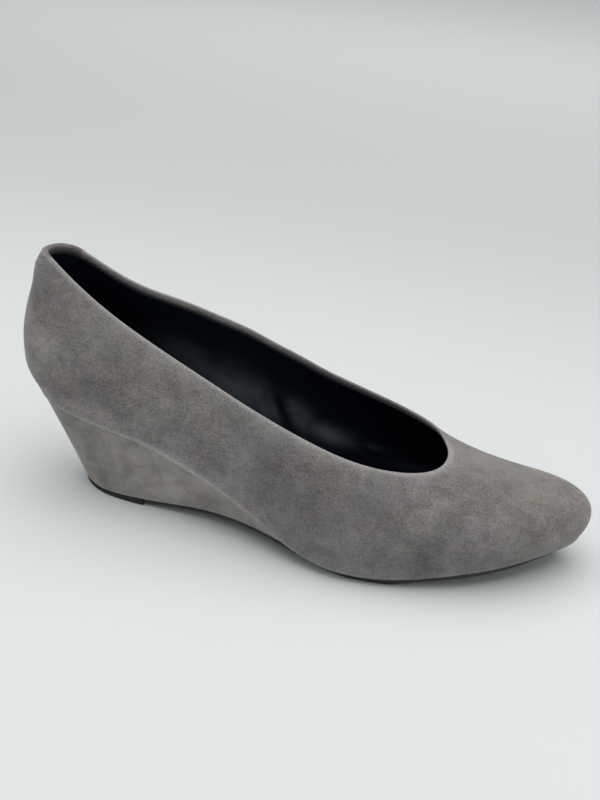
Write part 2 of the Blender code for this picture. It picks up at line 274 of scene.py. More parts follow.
def new_finish(name):
    """An empty finish: its tree, its shader and the place on the object that it reads."""
    finish = bpy.data.materials.new(name)
    finish.use_nodes = True
    tree = finish.node_tree
    shader = tree.nodes["Principled BSDF"]
    where = tree.nodes.new("ShaderNodeTexCoord").outputs["Object"]
    return finish, tree, shader, where


def sock_leather():
    finish, tree, shader, where = new_finish("navy_sock_leather")
    grain = noise(tree, where, 1500.0, detail=4.0)
    rubbed = spread(tree, noise(tree, where, 60.0, detail=4.0, distortion=0.8), 0.40, 0.68)
    gloss = add(tree, "ShaderNodeMath", {0: rubbed, 1: -0.10, 2: 0.46}, operation="MULTIPLY_ADD")
    plug(tree, shader, {"Base Color": tint(tree, rubbed, SOCK_NAVY, SOCK_WORN),
                        "Roughness": gloss.outputs[0], "Normal": raised(tree, grain, 0.00012, 0.35),
                        "Specular IOR Level": 0.42, "Specular Tint": (0.72, 0.84, 1.0, 1.0)})
    return finish


def lay_across(first, last, shares, height):
    """Rows of places from one edge to the other, laid on a height function."""
    rows = []
    for share in shares:
        plan = first[:, :2] * (1 - share) + last[:, :2] * share
        rows.append(np.column_stack([plan, height(plan[:, 0])]))
    return rows


def sock_section(at, across):
    """One cross-section of the insole for each station: over the sock, and back under the board."""
    foot = GAP + MARGIN_THICK - EDGE_DROP
    rows = []
    outer, inner = plan_curve(FEATHER_LINE, at), plan_curve(FEATHER_LINE, -at)
    outer = outer[0] - outer[1] * SOCK_INSET
    inner = inner[0] - inner[1] * SOCK_INSET
    width = np.linalg.norm(outer - inner, axis=1)
    for share in eased(0.0, 1.0, across):
        plan = outer * (1 - share) + inner * share
        edge = np.minimum(share, 1 - share) * width
        inside = np.clip(1 - edge / SOCK_ROLL, 0.0, 1.0)
        roll = SOCK_ROLL * (1 - np.sqrt(1 - inside**2))
        along = plan[:, 0] + plan[:, 1] * FOLD_SLANT
        heel = HEEL_PRESS * bell(plan[:, 0] - 0.032, 0.030)
        ball = BALL_PRESS * bell(plan[:, 0] - 0.172, 0.028)
        fold = SHANK_FOLD * bell(along - FOLD_ALONG, 0.0045)
        fold -= 0.6 * SHANK_FOLD * bell(along - FOLD_ALONG + 0.011, 0.006)
        top = SOCK_THICK - roll - (heel + ball + fold) * smooth_step(0.0, 0.014, edge)
        rows.append(np.column_stack([plan, bed_height(plan[:, 0]) + foot + top]))
    rows += lay_across(outer, inner, (1.0, 0.75, 0.5, 0.25, 0.0), lambda x: bed_height(x) + foot)
    return np.stack(rows, axis=1)


insole = sew("insole_sock", sock_section(eased(0, TOE_STATION, 200), 48), sock_leather())
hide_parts("insole")
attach(insole, "root")


# Lining
# Thin navy leather, glued inside the upper from the insole up to the folded top edge, with one
# seam down the back of the heel. It reads nearly black, and is duller than the sock.

THROAT_HEIGHT = 0.0467     # top edge above the floor over the instep
COLLAR_HEIGHT = 0.1055     # top edge above the floor at the back
WALL = 0.0020              # suede, stiffener and lining together
SUEDE_SHARE = 0.0010       # of that wall, the suede and its stiffener
FACING_DEPTH = 0.0034      # how far the suede folds down inside the top edge
ROUND_COLUMNS = 384        # sections round the shoe
STATION_LENGTH = 0.024     # along the heel, near the back
LINING_SEAM = 0.00012      # how far the lining's back seam stands up
LINING_SEAM_WIDE = 0.000646

# The top edge, and the wall's curve up to it from the feather line. climb: 0 at THROAT_HEIGHT,
# 1 at COLLAR_HEIGHT. lean: degrees outwards at the bottom. drop: degrees below level at the top,
# looking out. Bows: tangents, as shares of the distance.
TOPLINE = np.array([
    # along across   climb  lean  low_bow drop high_bow
    (0.008,  0.000,  1.000, 37.0, 0.385, 74.0, 0.36),
    (0.041, -0.268,  0.975, 28.5, 0.340, 74.0, 0.33),
    (0.161, -0.446,  0.703, 16.0,  0.36, 78.0, 0.36),
    (0.347, -0.573,  0.372, 12.0,  0.35, 74.0, 0.39),
    (0.494, -0.701,  0.163, 12.0,  0.32, 62.0, 0.37),
    (0.622, -0.688,  0.014, 12.0,  0.35, 46.0, 0.39),
    (0.719, -0.471, -0.043, 15.0,  0.35, 30.0, 0.60),
    (0.756, -0.229, -0.020, 19.0,  0.37, 19.0, 0.80),
    (0.758,  0.025,  0.000, 26.0, 0.435, 19.0, 0.66),
    (0.744,  0.255,  0.012, 21.0,  0.43, 31.0, 0.55),
    (0.713,  0.462,  0.040, 13.0,  0.35, 42.0, 0.45),
    (0.628,  0.611,  0.112, 13.0,  0.30, 46.0, 0.34),
    (0.494,  0.624,  0.272, 24.0,  0.32, 63.0, 0.34),
    (0.349,  0.510,  0.522, 37.0,  0.34, 76.0, 0.35),
    (0.161,  0.344,  0.747, 22.0,  0.35, 79.0, 0.35),
    (0.048,  0.280,  0.962, 28.0,  0.36, 79.0, 0.36),
])

# Creases and dents of a worn upper. from, to: station and height up the wall, 0 at the feather
# line and 1 at the top edge. rise: metres, minus for a trough. wide: metres to each side.
CREASES = [
    # from          to                rise    wide
    ((-0.60, 0.89), (1.00, 0.88),  0.00120, 0.0056),
    ((-0.60, 0.16), (1.00, 0.15),  0.00075, 0.0060),
    ((0.55, 0.20),  (2.20, 0.17), -0.00035, 0.0070),
    ((15.3, 0.20),  (13.8, 0.17), -0.00030, 0.0070),
    ((1.60, 0.62),  (2.50, 0.42), -0.00030, 0.0090),
    ((2.70, 0.66),  (3.50, 0.40),  0.00025, 0.0080),
    ((3.30, 0.75),  (4.25, 0.30), -0.00025, 0.0060),
    ((4.70, 0.88),  (5.15, 0.42), -0.00030, 0.0040),
    ((5.00, 0.90),  (5.50, 0.50),  0.00025, 0.0045),
    ((5.55, 0.78),  (5.85, 0.38), -0.00022, 0.0038),
    ((6.60, 0.72),  (7.90, 0.62), -0.00025, 0.0060),
    ((7.00, 0.48),  (8.60, 0.46),  0.00022, 0.0060),
    ((7.20, 0.22),  (8.20, 0.30), -0.00018, 0.0050),
    ((12.0, 0.85),  (11.4, 0.40), -0.00030, 0.0045),
    ((11.7, 0.88),  (11.1, 0.45),  0.00025, 0.0045),
    ((13.0, 0.70),  (12.4, 0.30), -0.00030, 0.0070),
]

# The top edge isn't quite even: at each station it leans in or out and dips by these metres.
RIM_WAVES = [
    #   at       out       up
    (  0.9,  0.00008,  0.0000),
    (  1.7, -0.00012,  0.0000),
    (  2.6,  0.00012,  0.0001),
    (  3.4, -0.00010, -0.0002),
    (  4.3,  0.00010,  0.0001),
    ( 11.9, -0.00012, -0.0001),
    ( 12.6,  0.00015, -0.0008),
    (13.55, -0.00012,  0.0009),
    ( 14.4,  0.00015, -0.0001),
]
WAVE_STATIONS = 0.27       # half the length of a wave, in stations

# Where the lining has come a little loose and stands off the wall. rise: minus is into the shoe.
LINING_FOLDS = [
    # from          to                rise    wide
    ((14.1, 0.34),  (12.70, 0.24), -0.0015, 0.0085),
    ((12.5, 0.30),  (11.70, 0.24), -0.0012, 0.0070),
    ((12.72, 0.56), (12.52, 0.14),  0.0010, 0.0020),
    ((12.82, 0.60), (12.66, 0.20), -0.0006, 0.0020),
    ((11.75, 0.36), (11.45, 0.20),  0.0007, 0.0018),
    ((11.35, 0.24), (10.60, 0.22), -0.0006, 0.0040),
    ((14.9, 0.70),  (14.20, 0.40), -0.0004, 0.0050),
    ((1.80, 0.34),  (3.40, 0.26),  -0.0008, 0.0080),
    ((2.90, 0.55),  (3.10, 0.16),   0.0006, 0.0022),
]

# Where the foot has rubbed it to a low polish, with a grey painted reflection of the light on it.
# round: station. long, high: half sizes.
LINING_RUBS_AND_REFLECTIONS = [
    # round   up  long  high  strength
    (13.55, 0.46, 0.34, 0.17, 0.8),
    (13.15, 0.38, 0.36, 0.20, 1.0),
    (12.85, 0.40, 0.20, 0.17, 1.0),
    (12.40, 0.42, 0.20, 0.12, 1.0),
    (12.05, 0.36, 0.30, 0.08, 1.0),
    (11.65, 0.33, 0.30, 0.04, 0.6),
    (11.10, 0.20, 0.25, 0.04, 0.6),
    ( 2.90, 0.28, 0.55, 0.16, 0.8),
    ( 3.80, 0.32, 0.35, 0.08, 0.6),
]
LINING_NAVY = (0.0005, 0.0022, 0.0068, 1.0)
# The grey of a painted reflection on the polished lining.
LINING_REFLECTION_GREY = (0.0720, 0.0880, 0.1060, 1.0)


def wall_point(at, up):
    """The last's outer face: at is the station, up runs from feather line 0 to top edge 1."""
    foot_plan, foot_out = plan_curve(FEATHER_LINE, at)
    foot = np.column_stack([foot_plan, bed_height(foot_plan[:, 0])])
    top_plan, top_out = plan_curve(TOPLINE, at)
    climb, lean, low_bow, drop, high_bow = on_ring(TOPLINE[:, 2:], at).T
    lean, drop = np.radians(lean), np.radians(drop)
    top = np.column_stack([top_plan, THROAT_HEIGHT + climb * (COLLAR_HEIGHT - THROAT_HEIGHT)])
    reach = np.linalg.norm(top - foot, axis=1)
    low = np.column_stack([foot_out * np.sin(lean)[:, None], np.cos(lean)])
    high = np.column_stack([top_out * np.cos(drop)[:, None], -np.sin(drop)])
    low_point = foot + low * (low_bow * reach)[:, None]
    high_point = top + high * (high_bow * reach)[:, None]
    up = np.asarray(up, dtype=float)[:, None]
    return ((1 - up)**3 * foot + 3 * (1 - up)**2 * up * low_point
            + 3 * (1 - up) * up**2 * high_point + up**3 * top)


def wall_normal(at, up):
    """Direction straight out of that face."""
    step = 0.01
    up = np.asarray(up, dtype=float)
    low, high = np.maximum(up - step, 0.0), np.minimum(up + step, 1.0)
    round_shoe = wall_point(np.asarray(at) + step, up) - wall_point(np.asarray(at) - step, up)
    normal = np.cross(round_shoe, wall_point(at, high) - wall_point(at, low))
    return normal / np.linalg.norm(normal, axis=1)[:, None]


def crease_lines(table):
    """Closely spaced places along each crease of a table, with its rise and its width."""
    share = np.linspace(0.0, 1.0, 40)
    return [(wall_point(start[0] + (end[0] - start[0]) * share, start[1] + (end[1] - start[1]) * share),
             rise, wide) for start, end, rise, wide in table]


CREASE_LINES = crease_lines(CREASES)
FOLD_LINES = crease_lines(LINING_FOLDS)


def crease_rise(points, lines):
    """How far creases lift or sink the wall at each point. They fade out at their ends."""
    total = np.zeros(len(points))
    fade = np.sin(np.linspace(0.0, math.pi, 40))[None, :]
    for line, rise, wide in lines:
        away = np.linalg.norm(points[:, None, :] - line[None, :, :], axis=2)
        total += rise * np.max(bell(away, wide) * fade, axis=1)
    return total


def past(at, place):
    """How many stations at lies past a place, minus before it, the shorter way round."""
    return np.mod(at - place + TOE_STATION, STATIONS) - TOE_STATION


def rim_wave(at):
    """How far the top edge leans out, and how far it climbs."""
    out, climb = np.zeros(len(at)), np.zeros(len(at))
    for place, lean, rise in RIM_WAVES:
        wave = bell(past(at, place), WAVE_STATIONS)
        out += lean * wave
        climb += rise * wave
    return out, climb


def worn_wall(at, up, offset):
    """The wall with its creases and the waves of its top edge, offset metres out of the last."""
    at, up = np.asarray(at, dtype=float), np.asarray(up, dtype=float)
    points, normal = wall_point(at, up), wall_normal(at, up)
    out, climb = rim_wave(at)
    near_rim = smooth_step(0.72, 1.0, up)
    lift = offset + crease_rise(points, CREASE_LINES) + out * near_rim
    moved = points + normal * lift[:, None]
    moved[:, 2] += climb * near_rim
    return moved


def wall_height(at):
    """Length of the wall at each station, straight from the feather line to the top edge."""
    level = np.ones(len(at))
    return np.linalg.norm(wall_point(at, level) - wall_point(at, level * 0), axis=1)


def marked(tree, name):
    """A mark that was laid on the skin's points."""
    return add(tree, "ShaderNodeAttribute", attribute_name=name).outputs["Fac"]


def lining_leather():
    """Dull and nearly black where it hangs; where it is rubbed it has a low polish and a grey painted
    reflection.
    """
    finish, tree, shader, where = new_finish("navy_lining_leather")
    grain = noise(tree, where, 1500.0, detail=3.0)
    smear = spread(tree, noise(tree, where, 70.0, detail=3.0, distortion=1.2), 0.30, 0.62, 0.62, 1.0)
    # rubbed: the polish, and with it the painted reflection in the base colour.
    rubbed = sums(tree, "MULTIPLY", marked(tree, "polish_and_reflection"), smear)
    plug(tree, shader, {"Base Color": tint(tree, rubbed, LINING_NAVY, LINING_REFLECTION_GREY),
                        "Roughness": spread(tree, rubbed, 0.0, 1.0, 0.70, 0.42),
                        "Coat Weight": spread(tree, rubbed, 0.0, 1.0, 0.0, 0.9),
                        "Normal": raised(tree, grain, 0.00008, 0.25), "Coat Roughness": 0.34,
                        "Specular IOR Level": 0.25, "Specular Tint": (0.55, 0.75, 1.0, 1.0)})
    return finish


def lining_rub_and_reflection(at, up, points):
    """How rubbed the lining is, and how strong its painted reflection, with the bottom of the arch fold left
    dark.
    """
    total = np.zeros(len(at))
    for place, height, long, high, strength in LINING_RUBS_AND_REFLECTIONS:
        away = (past(at, place) / long)**2 + ((up - height) / high)**2
        total = np.maximum(total, strength * np.exp(-away))
    valley = [(line, rise, wide) for line, rise, wide in FOLD_LINES if rise > 0]
    return total * (1 - np.clip(crease_rise(points, valley) / 0.0008, 0.0, 0.9))


def lining_sections(at):
    """Up the side that shows, over the pared edge under the facing, and down the glued side.
    The second result says how polished each point is, and how strong its painted reflection."""
    level = np.ones(len(at))
    rim_up = 1 - (FACING_DEPTH - 0.0004) / wall_height(at)
    seam = LINING_SEAM * bell(past(at, 0) * STATION_LENGTH, LINING_SEAM_WIDE)
    rows, polish_and_reflection = [], []
    for share in np.linspace(0.01, 1.0, 60):
        up = level * share * rim_up
        points = wall_point(at, up)
        rows.append(worn_wall(at, up, -WALL + seam + crease_rise(points, FOLD_LINES)))
        polish_and_reflection.append(lining_rub_and_reflection(at, up, points))
    for inset, lift in ((0.80, 0.0001), (0.62, 0.00015)):
        rows.append(worn_wall(at, rim_up + lift / wall_height(at), -WALL * inset))
    for share in np.linspace(1.0, 0.01, 12):
        rows.append(worn_wall(at, level * share * rim_up, -SUEDE_SHARE - 0.00005))
    polish_and_reflection += [level * 0] * (len(rows) - len(polish_and_reflection))
    return np.stack(rows, axis=1), np.stack(polish_and_reflection, axis=1)


columns_round = np.linspace(0, STATIONS, ROUND_COLUMNS + 1)[:-1]
lining_rows, lining_polish_and_reflection = lining_sections(columns_round)
lining = sew("lining", lining_rows, lining_leather(), loop=True, marks={"polish_and_reflection": lining_polish_and_reflection})
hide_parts("upper")
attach(lining, "root")


# Suede upper
# One piece of taupe goat suede from the inner side of the heel round the toe and back, pulled
# over the last and turned under at the feather line, where it keeps a soft lip over the wedge.
# Its top edge is folded over a tape, so it is round, and the nap there is rubbed pale and
# carries a painted highlight, as does the lip; inside, the folded-in facing is painted darker
# towards its lower edge as shade.

MARGIN_WIDTH = 0.0050      # of the edge that is turned under the foot
EDGE_INSET = 0.0012        # how far the edge rounds in below the feather line
RIM_RADIUS = 0.00068       # of the folded top edge
HEEL_PADDING = 0.00050     # more of it at the back, where a soft tape lies in the fold
FACING_BULGE = 0.00020     # how far the folded-in suede stands off the wall at mid depth
FACING_FOOT = 0.00185      # how far in its lower edge lies, just under the lining's edge
LIP_FLARE = 0.00085        # how far the edge stands out over the wedge
LIP_HEIGHT = 0.0018
LIP_SQUARE = 0.55          # 1 for a round corner under the lip, less for a squarer one
SEAM_DEPTH = 0.00045       # of the closed seam down the back
SEAM_WIDE = 0.0009

SUEDE_DARK = (0.129, 0.120, 0.118, 1.0)
SUEDE_WARM = (0.318, 0.288, 0.276, 1.0)
SUEDE_GREEN = (0.274, 0.273, 0.263, 1.0)
SUEDE_PLUM = (0.288, 0.267, 0.275, 1.0)
CAST_COOL = (0.960, 0.970, 0.985, 1.0)
CAST_WARM = (1.000, 0.972, 0.935, 1.0)
# Pale worn nap, and the painted highlight along the top edge, the lip and the tab's bead.
SUEDE_RUBBED_AND_HIGHLIGHT = (0.450, 0.438, 0.430, 1.0)
# Near black: painted shade on the folded-in facing, darkest at its lower edge.
SUEDE_FACING_SHADE = (0.006, 0.007, 0.010, 1.0)
SUEDE_SPECK = (0.018, 0.015, 0.014, 1.0)
SPECK_AT = (0.1745, -0.0215, 0.0215)


def rim_radius(at):
    """Radius of the folded top edge, which is fullest at the back of the heel."""
    return RIM_RADIUS + HEEL_PADDING * bell(past(at, 0), 1.15)


def rim_frame(at):
    """The top edge of the wall at each station: its place, straight out, and straight up."""
    level = np.ones(len(at))
    top = worn_wall(at, level, 0.0)
    up = top - worn_wall(at, level - 0.02, 0.0)
    return top, wall_normal(at, level), up / np.linalg.norm(up, axis=1)[:, None]


def rim_skin(at, turn, lift):
    """The rounded top edge, turn degrees over from the outer face, lift metres off the suede."""
    top, out, up = rim_frame(at)
    angle = np.radians(turn)[:, None]
    radius = rim_radius(at)[:, None]
    return top - out * radius + (out * np.cos(angle) + up * np.sin(angle)) * (radius + lift[:, None])


def facing_skin(at, below, lift):
    """The suede that is folded in, below metres under the top edge."""
    share = np.clip(below / FACING_DEPTH, 0, 1)
    inward = 2 * rim_radius(at) * (1 - share) + FACING_FOOT * share + FACING_BULGE * np.sin(share * math.pi)
    return worn_wall(at, 1 - below / wall_height(at), -inward - lift)


# Where the nap is made darker or paler: its own drifts, and with them painted shade low on the
# outer side by the joint and ball, in the hollow above the counter's foot and along the inner top
# edge, and painted light along the counter's foot, along the outer top edge and round the toe.
# shade: share of its colour.
NAP_DRIFTS_AND_PAINTED_LIGHT = [
    # from         to            shade    wide
    ((0.50, 0.52), (0.95, 0.92), -0.16, 0.0090),
    ((1.25, 0.74), (1.45, 0.60), -0.16, 0.0080),
    ((1.20, 0.24), (2.20, 0.30), -0.22, 0.0065),
    ((2.00, 0.74), (2.35, 0.60), -0.14, 0.0070),
    ((0.70, 0.06), (2.30, 0.08),  0.18, 0.0034),
    ((0.40, 0.34), (1.60, 0.56),  0.12, 0.0070),
    ((0.20, 0.78), (1.10, 0.64), -0.12, 0.0055),
    ((0.90, 0.06), (1.50, 0.30),  0.12, 0.0050),
    ((1.90, 0.98), (3.90, 0.96),  0.28, 0.0060),
    ((2.00, 0.20), (3.35, 0.50),  0.06, 0.0150),
    ((2.55, 0.42), (3.20, 0.82),  0.13, 0.0055),
    ((2.55, 0.86), (3.00, 0.86), -0.14, 0.0045),
    ((3.25, 0.70), (3.55, 0.62),  0.14, 0.0050),
    ((3.60, 0.90), (3.90, 0.60), -0.30, 0.0070),
    ((3.60, 0.70), (3.50, 0.30), -0.16, 0.0070),
    ((4.00, 0.48), (4.85, 0.45), -0.34, 0.0120),
    ((3.60, 0.10), (4.60, 0.12), -0.16, 0.0070),
    ((4.95, 0.62), (5.70, 0.70), -0.24, 0.0100),
    ((4.90, 0.22), (6.10, 0.18), -0.28, 0.0090),
    ((5.80, 0.96), (6.50, 0.80),  0.20, 0.0070),
    ((3.90, 0.98), (5.00, 0.98),  0.22, 0.0040),
    ((6.20, 0.45), (6.90, 0.40),  0.10, 0.0070),
    ((4.30, 0.86), (4.80, 0.88), -0.14, 0.0055),
    ((6.60, 0.84), (7.00, 0.72),  0.12, 0.0055),
    ((7.20, 0.88), (7.90, 0.70), -0.12, 0.0080),
    ((7.00, 0.20), (9.30, 0.22),  0.42, 0.0120),
    ((7.40, 0.55), (8.80, 0.55),  0.07, 0.0150),
    ((13.6, 0.35), (12.4, 0.28), -0.12, 0.0120),
    ((11.4, 0.20), (10.4, 0.18), -0.18, 0.0080),
    ((14.6, 0.96), (13.0, 0.95),  0.20, 0.0060),
    ((12.6, 1.00), (8.60, 1.00), -0.26, 0.0040),
]

# Where its grey leans to warm brown, or to cool for a minus.
NAP_CASTS = [
    # from         to             warm    wide
    ((1.10, 0.88), (2.30, 0.82),  0.40, 0.0120),
    ((3.20, 0.30), (5.60, 0.40), -0.40, 0.0250),
    ((6.60, 0.80), (9.20, 0.80),  0.45, 0.0200),
    ((6.80, 0.40), (9.20, 0.35),  0.50, 0.0220),
    ((13.0, 0.30), (10.8, 0.40), -0.35, 0.0220),
]
CAST_BASE = 0.40           # 0 is cool and 1 warm
NAP_DRIFT_AND_LIGHT_LINES = crease_lines(NAP_DRIFTS_AND_PAINTED_LIGHT)
CAST_LINES = crease_lines(NAP_CASTS)


def nap_tone_and_painted_light(points):
    """The nap's colour here, with its painted light and shade, as a multiple of its own."""
    return 1 + crease_rise(points, NAP_DRIFT_AND_LIGHT_LINES)


def nap_warmth(points):
    return CAST_BASE + crease_rise(points, CAST_LINES)


def lip_reach(at):
    """How full the lip over the wedge is: strongest beside the shank, and gone at the ball."""
    station = np.minimum(at, STATIONS - at)
    full = smooth_step(0.2, 1.0, station) * (1 - smooth_step(3.0, 4.6, station))
    return 0.55 * full + 0.45 * bell(station - 2.72, 0.35)


def lip_flare(at, up):
    return LIP_FLARE * lip_reach(at) * np.exp(-(up * wall_height(at) / LIP_HEIGHT)**1.5)


def back_seam(at, below):
    """The closed seam down the back, under the heel tab."""
    side = past(at, 0) * STATION_LENGTH
    return -SEAM_DEPTH * smooth_step(0.009, 0.011, below) * bell(side, SEAM_WIDE / 2)


def suede_sections(at):
    """From the turned margin out to the feather line, up the wall, over the top edge, down the
    facing, and back down inside the wall. The marks say how rubbed each point is, with a painted
    highlight on the top edge and the lip; how dark the facing is painted as shade towards its lower
    edge; how dark its nap lies, with painted light and shade among it; and how warm it is."""
    level = np.ones(len(at))
    height = wall_height(at)
    flare = lip_flare(at, level * 0)
    reach = lip_reach(at)
    # How much wear and painted highlight the top edge takes: less along the inner side from the toe to the
    # waist.
    highlight_and_wear_share = 1 - 0.5 * smooth_step(8.2, 9.4, at) * (1 - smooth_step(12.0, 13.4, at))
    rows = []
    marks = {"rubbed": [], "painted_facing_shade": [], "shade": [], "warmth": []}

    def lay(points, wear, facing_shade_share=0.0):
        rows.append(points)
        for mark, value in zip(marks.values(), (wear, facing_shade_share, nap_tone_and_painted_light(points), nap_warmth(points))):
            mark.append(level * value)

    for share in (1.0, 0.7, 0.4, 0.15):
        lay(outline(FEATHER_LINE, at, EDGE_INSET + (MARGIN_WIDTH - EDGE_INSET) * share - flare,
                    bed_height, -EDGE_DROP), 0.0)
    # The round under the lip is paled by wear and a painted highlight.
    for turn in (0, 20, 40, 60, 78):
        slope = math.radians(turn)
        lay(outline(FEATHER_LINE, at, EDGE_INSET * (1 - math.sin(slope)**LIP_SQUARE) - flare,
                    bed_height, -EDGE_DROP * math.cos(slope)**LIP_SQUARE), (0.15 + 0.60 * reach) * turn / 78)
    for up in np.concatenate([np.linspace(0, 0.12, 18), np.linspace(0.14, 0.90, 44),
                              np.linspace(0.915, 1.0, 14)]):
        below = (1 - up) * height
        offset = lip_flare(at, level * up) + back_seam(at, below)
        # Paler along the lip over the wedge and along the top edge: wear, with a painted highlight.
        lip_wear_and_highlight = (0.15 + 0.65 * reach) * bell(up * height, 0.0008 + 0.0012 * reach)
        rim_wear_and_highlight = 0.60 * bell(below, 0.0007) + 0.22 * bell(below, 0.0030)
        lay(worn_wall(at, level * up, offset), lip_wear_and_highlight + rim_wear_and_highlight * highlight_and_wear_share)
    # Over the folded top edge: wear with a painted highlight, strongest on its crown, and a touch of painted
    # shade on its inner side.
    for turn in range(15, 181, 15):
        over = turn / 180
        fold_wear_and_highlight = (0.65 + 0.25 * math.sin(over * math.pi) - 0.25 * over) * highlight_and_wear_share
        lay(rim_skin(at, level * turn, level * 0.0), fold_wear_and_highlight, 0.06 * smooth_step(0.6, 1.0, over))
    # Down the facing: its top paled by wear and a painted highlight, its lower part darkened as painted
    # shade.
    for below in (0.0003, 0.0007, 0.0011, 0.0016, 0.0021, 0.0026, 0.0031, FACING_DEPTH):
        share = below / FACING_DEPTH
        lay(facing_skin(at, level * below, level * 0.0), 0.50 * (1 - share)**2 * highlight_and_wear_share,
            0.06 + 0.94 * smooth_step(0.02, 0.75, share))
    under = 1 - (FACING_DEPTH + 0.0002) / height
    # Under the facing's edge, wholly dark with painted shade.
    for share in (0.85, 0.62):
        lay(worn_wall(at, under, -FACING_FOOT * share), 0.0, 1.0)
    for share in np.linspace(1.0, 0.02, 12):
        lay(worn_wall(at, under * share, -SUEDE_SHARE), 0.0)
    for share in (0.25, 0.6, 1.0):
        lay(outline(FEATHER_LINE, at, MARGIN_WIDTH * share, bed_height, MARGIN_THICK - EDGE_DROP), 0.0)
    return np.stack(rows, axis=1), {mark: np.stack(values, axis=1) for mark, values in marks.items()}


def brushed_suede(name, dark, warm, green, plum, wear_and_highlight_tone, clouding, grain_share, speck=False):
    """Nap that lies in soft drifts and clouds, with short brush strokes and a fine grain; its marks
    add wear, painted highlight, painted light and shade, and warmth.
    """
    finish, tree, shader, where = new_finish(name)
    drift = noise(tree, where, 26.0, detail=2.0, distortion=0.8)
    cloud = noise(tree, where, 88.0, detail=3.0, roughness=0.6, distortion=1.3)
    patch = noise(tree, where, 300.0, detail=2.0, distortion=0.6)
    laid = add(tree, "ShaderNodeMapping", {"Vector": where, "Rotation": (0.2, math.radians(32), 0.3),
               "Scale": (190.0, 520.0, 1000.0)}).outputs[0]
    strokes = noise(tree, laid, 1.0, detail=2.0, roughness=0.6, distortion=0.4)
    grain = noise(tree, where, 1350.0, detail=2.0, roughness=0.8)
    hue = noise(tree, where, 36.0, detail=3.0, distortion=1.0)
    bloom = noise(tree, where, 21.0, detail=2.0, distortion=1.4)

    tone = spread(tree, drift, 0.28, 0.72, 0.5 - 0.26 * clouding, 0.5 + 0.26 * clouding)
    for layer, amount in ((cloud, 0.18 * clouding), (patch, 0.05 * clouding), (strokes, 0.08 * grain_share),
                          (grain, 0.36 * grain_share)):
        tone = sums(tree, "ADD", tone, spread(tree, layer, 0.28, 0.72, -amount, amount))
    pale = tint(tree, spread(tree, hue, 0.36, 0.62), green, warm)
    pale = tint(tree, spread(tree, bloom, 0.50, 0.70), pale, plum)
    colour = tint(tree, tone, dark, pale)
    cast = tint(tree, marked(tree, "warmth"), CAST_COOL, CAST_WARM)
    # The shade mark holds drifts, stains and painted light and shade; the warmth mark the casts.
    for layer in (marked(tree, "shade"), cast):
        colour = tint(tree, 1.0, colour, layer, way="MULTIPLY")
    # Paler where rubbed: wear, and on the upper also a painted highlight.
    worn = sums(tree, "MULTIPLY", marked(tree, "rubbed"), spread(tree, grain, 0.25, 0.65, 0.40, 1.0))
    colour = tint(tree, worn, colour, wear_and_highlight_tone)
    if speck:
        away = add(tree, "ShaderNodeVectorMath", {0: where, 1: SPECK_AT}, operation="DISTANCE")
        dirt = spread(tree, away.outputs["Value"], 0.00030, 0.00065, 1.0, 0.0)
        colour = tint(tree, dirt, colour, SUEDE_SPECK)

    nap = sums(tree, "ADD", grain, sums(tree, "MULTIPLY", strokes, 0.9))
    nap = sums(tree, "ADD", nap, sums(tree, "MULTIPLY", cloud, 1.2))
    # The facing darkens towards its lower edge: painted shade.
    plug(tree, shader, {"Base Color": tint(tree, marked(tree, "painted_facing_shade"), colour, SUEDE_FACING_SHADE),
                        "Normal": raised(tree, nap, 0.00030 * grain_share, 0.5),
                        "Roughness": 0.95, "Specular IOR Level": 0.12, "Sheen Weight": 0.30,
                        "Sheen Roughness": 0.45, "Sheen Tint": (0.96, 0.93, 0.90, 1.0)})
    return finish


upper_suede = brushed_suede("taupe_goat_suede", SUEDE_DARK, SUEDE_WARM, SUEDE_GREEN, SUEDE_PLUM,
                            SUEDE_RUBBED_AND_HIGHLIGHT, 1.0, 1.0, speck=True)
suede_rows, suede_marks = suede_sections(columns_round)
upper = sew("suede_upper", suede_rows, upper_suede, loop=True, marks=suede_marks)
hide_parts("upper")
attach(upper, "root")


# Lining stitches
# A row of dark thread runs round the inside, through the folded-in suede just above its lower
# edge, and holds the lining. Each stitch is a slim bead that lies along the row.

STITCH_DEPTH = 0.0024      # of the row, below the top edge
STITCH_PITCH = 0.0022      # from one stitch to the next
STITCH_LONG = 0.0016
THREAD = 0.00034           # its thickness
THREAD_NAVY = (0.020, 0.021, 0.026, 1.0)


